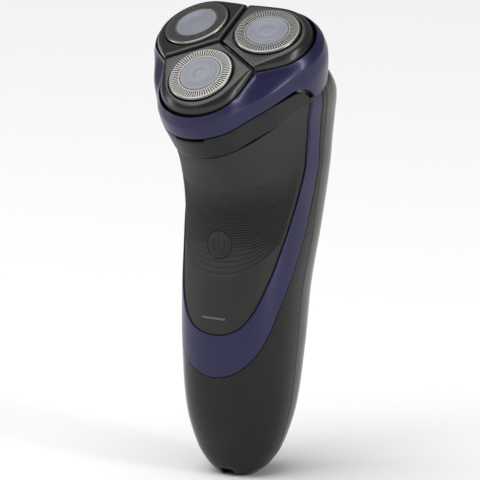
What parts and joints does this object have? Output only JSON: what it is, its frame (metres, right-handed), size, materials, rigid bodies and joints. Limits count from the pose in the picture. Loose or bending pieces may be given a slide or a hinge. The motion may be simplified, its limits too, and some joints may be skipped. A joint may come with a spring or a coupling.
{
  "type": "rotary electric shaver",
  "caption": "Handheld rotary electric shaver with floating heads in a hinged shaving unit, a grip handle, a power button, a pop-up trimmer and a charging inlet at the tip.",
  "frame": {"origin": "middle of the handle's bottom tip, on the face round the charging inlet", "axes": "+Z from the tip up the handle to the shaving heads, -Y the power button side, +Y the trimmer side, X across"},
  "size_m": [0.0598, 0.068, 0.1541],
  "materials": {
    "gloss_shell": "high gloss black plastic",
    "gloss_black": "gloss black plastic",
    "brown_shell": "semi gloss dark brown-grey plastic",
    "grip": "soft matt grip",
    "indigo_lacquer": "indigo metallic lacquer over plastic",
    "satin_grey": "satin dark grey plastic",
    "light_lens": "translucent light pipe",
    "pale_blue": "pale blue-grey moulded plastic",
    "cap_steel": "polished nickel-coated steel",
    "cutter_steel": "ground steel",
    "steel": "turned steel",
    "motor_steel": "drawn steel can",
    "frame_plastic": "grey glass-filled plastic",
    "gear_plastic": "natural acetal",
    "switch_black": "moulded switch housing",
    "board_green": "solder mask",
    "cell_wrap": "shrink sleeve"
  },
  "bodies": {
    "handle": {"front_shell": "gloss_shell", "rear_shell": "brown_shell", "accent_band": "indigo_lacquer", "grip_panel": "grip", "charge_light": "light_lens", "charging_socket": "gloss_shell", "inlet_pins": "steel", "inner_frame": "frame_plastic", "circuit_board": "board_green", "button_switch": "switch_black", "board_screws": "steel", "battery_cell": "cell_wrap", "motor": "motor_steel", "gear_plate": "frame_plastic", "gear_pins": "steel", "drive_deck": "frame_plastic", "hair_chamber": "frame_plastic", "deck_screws": "steel", "hinge_pin": "steel", "trimmer_pin": "steel"},
    "power_button": {"power_button": "satin_grey"},
    "release_collar": {"release_collar": "satin_grey"},
    "motor_pinion": {"motor_pinion": "steel"},
    "shaving_unit": {"head_housing": "indigo_lacquer", "head_carrier": "frame_plastic"},
    "carrier_lock": {"carrier_lock": "frame_plastic"},
    "trimmer_door": {"trimmer_door": "brown_shell", "trimmer_comb": "cutter_steel"},
    "trimmer_blade": {"trimmer_blade": "cutter_steel"},
    "trimmer_switch": {"trimmer_switch": "satin_grey"},
    "drive_gear_1": {"drive_gear_1": "gear_plastic"},
    "drive_spindle_1": {"drive_spindle_1": "gear_plastic"},
    "petal_1": {"petal_1": "gloss_black"},
    "shaving_head_1": {"shaving_cap_1": "cap_steel", "cap_disc_1": "pale_blue"},
    "cutter_1": {"cutter_1": "cutter_steel"},
    "drive_gear_2": {"drive_gear_2": "gear_plastic"},
    "drive_spindle_2": {"drive_spindle_2": "gear_plastic"},
    "petal_2": {"petal_2": "gloss_black"},
    "shaving_head_2": {"shaving_cap_2": "cap_steel", "cap_disc_2": "pale_blue"},
    "cutter_2": {"cutter_2": "cutter_steel"},
    "drive_gear_3": {"drive_gear_3": "gear_plastic"},
    "drive_spindle_3": {"drive_spindle_3": "gear_plastic"},
    "petal_3": {"petal_3": "gloss_black"},
    "shaving_head_3": {"shaving_cap_3": "cap_steel", "cap_disc_3": "pale_blue"},
    "cutter_3": {"cutter_3": "cutter_steel"}
  },
  "joints": [
    {"name": "button_press", "type": "slide", "parent": "handle", "child": "power_button", "axis": [0, 1, 0], "range_m": [0, 0.0008], "stiffness_N_per_m": 1500},
    {"name": "collar_press", "type": "slide", "parent": "handle", "child": "release_collar", "axis": [0, 0.8554, 0.518], "range_m": [0, 0.0006], "stiffness_N_per_m": 1500},
    {"name": "motor_turn", "type": "hinge", "parent": "handle", "child": "motor_pinion", "pos_m": [0, 0.00173, 0.12236], "axis": [0, -0.518, 0.8554], "continuous": true},
    {"name": "unit_open", "type": "hinge", "parent": "handle", "child": "shaving_unit", "pos_m": [0, 0.0215, 0.134], "axis": [-1, 0, 0], "range_deg": [0, 80]},
    {"name": "lock_turn", "type": "hinge", "parent": "shaving_unit", "child": "carrier_lock", "pos_m": [0, -0.0076, 0.13776], "axis": [0, -0.518, 0.8554], "range_deg": [0, 90]},
    {"name": "trimmer_open", "type": "hinge", "parent": "handle", "child": "trimmer_door", "pos_m": [0, 0.0283, 0.104], "axis": [-1, 0, 0], "range_deg": [0, 45]},
    {"name": "trimmer_stroke", "type": "slide", "parent": "trimmer_door", "child": "trimmer_blade", "axis": [1, 0, 0], "range_m": [-0.0006, 0.0006]},
    {"name": "trimmer_release", "type": "slide", "parent": "handle", "child": "trimmer_switch", "axis": [0, -0.1579, -0.9875], "range_m": [0, 0.003]},
    {"name": "gear_1_turn", "type": "hinge", "parent": "handle", "child": "drive_gear_1", "pos_m": [0, -0.0105, 0.11496], "axis": [0, -0.518, 0.8554], "continuous": true},
    {"name": "spindle_1_float", "type": "slide", "parent": "drive_gear_1", "child": "drive_spindle_1", "axis": [0, 0.518, -0.8554], "range_m": [0, 0.0012]},
    {"name": "petal_1_tilt", "type": "hinge", "parent": "shaving_unit", "child": "petal_1", "pos_m": [0, -0.01985, 0.1304], "axis": [1, 0, 0], "range_deg": [-2.5, 2.5], "stiffness_Nm_per_rad": 0.05},
    {"name": "head_1_float", "type": "slide", "parent": "petal_1", "child": "shaving_head_1", "axis": [0, 0.6184, -0.7859], "range_m": [0, 0.0012], "stiffness_N_per_m": 600},
    {"name": "cutter_1_turn", "type": "hinge", "parent": "shaving_head_1", "child": "cutter_1", "pos_m": [0, -0.02295, 0.13433], "axis": [0, -0.6184, 0.7859], "continuous": true},
    {"name": "gear_2_turn", "type": "hinge", "parent": "handle", "child": "drive_gear_2", "pos_m": [0.01238, 0.00784, 0.12606], "axis": [0, -0.518, 0.8554], "continuous": true},
    {"name": "spindle_2_float", "type": "slide", "parent": "drive_gear_2", "child": "drive_spindle_2", "axis": [0, 0.518, -0.8554], "range_m": [0, 0.0012]},
    {"name": "petal_2_tilt", "type": "hinge", "parent": "shaving_unit", "child": "petal_2", "pos_m": [0.01238, -0.00151, 0.14151], "axis": [-0.5, 0.7408, 0.4486], "range_deg": [-2.5, 2.5], "stiffness_Nm_per_rad": 0.05},
    {"name": "head_2_float", "type": "slide", "parent": "petal_2", "child": "shaving_head_2", "axis": [-0.1055, 0.462, -0.8806], "range_m": [0, 0.0012], "stiffness_N_per_m": 600},
    {"name": "cutter_2_turn", "type": "hinge", "parent": "shaving_head_2", "child": "cutter_2", "pos_m": [0.01291, -0.00382, 0.14591], "axis": [0.1055, -0.462, 0.8806], "continuous": true},
    {"name": "gear_3_turn", "type": "hinge", "parent": "handle", "child": "drive_gear_3", "pos_m": [-0.01238, 0.00784, 0.12606], "axis": [0, -0.518, 0.8554], "continuous": true},
    {"name": "spindle_3_float", "type": "slide", "parent": "drive_gear_3", "child": "drive_spindle_3", "axis": [0, 0.518, -0.8554], "range_m": [0, 0.0012]},
    {"name": "petal_3_tilt", "type": "hinge", "parent": "shaving_unit", "child": "petal_3", "pos_m": [-0.01238, -0.00151, 0.14151], "axis": [-0.5, -0.7408, -0.4486], "range_deg": [-2.5, 2.5], "stiffness_Nm_per_rad": 0.05},
    {"name": "head_3_float", "type": "slide", "parent": "petal_3", "child": "shaving_head_3", "axis": [0.1055, 0.462, -0.8806], "range_m": [0, 0.0012], "stiffness_N_per_m": 600},
    {"name": "cutter_3_turn", "type": "hinge", "parent": "shaving_head_3", "child": "cutter_3", "pos_m": [-0.01291, -0.00382, 0.14591], "axis": [-0.1055, -0.462, 0.8806], "continuous": true}
  ],
  "couplings": [
    {"joint": "gear_1_turn", "follows": "motor_turn", "ratio": -0.42857},
    {"joint": "cutter_1_turn", "follows": "motor_turn", "ratio": -0.42857},
    {"joint": "spindle_1_float", "follows": "head_1_float", "ratio": 1},
    {"joint": "gear_2_turn", "follows": "motor_turn", "ratio": -0.42857},
    {"joint": "cutter_2_turn", "follows": "motor_turn", "ratio": -0.42857},
    {"joint": "spindle_2_float", "follows": "head_2_float", "ratio": 1},
    {"joint": "gear_3_turn", "follows": "motor_turn", "ratio": -0.42857},
    {"joint": "cutter_3_turn", "follows": "motor_turn", "ratio": -0.42857},
    {"joint": "spindle_3_float", "follows": "head_3_float", "ratio": 1}
  ]
}
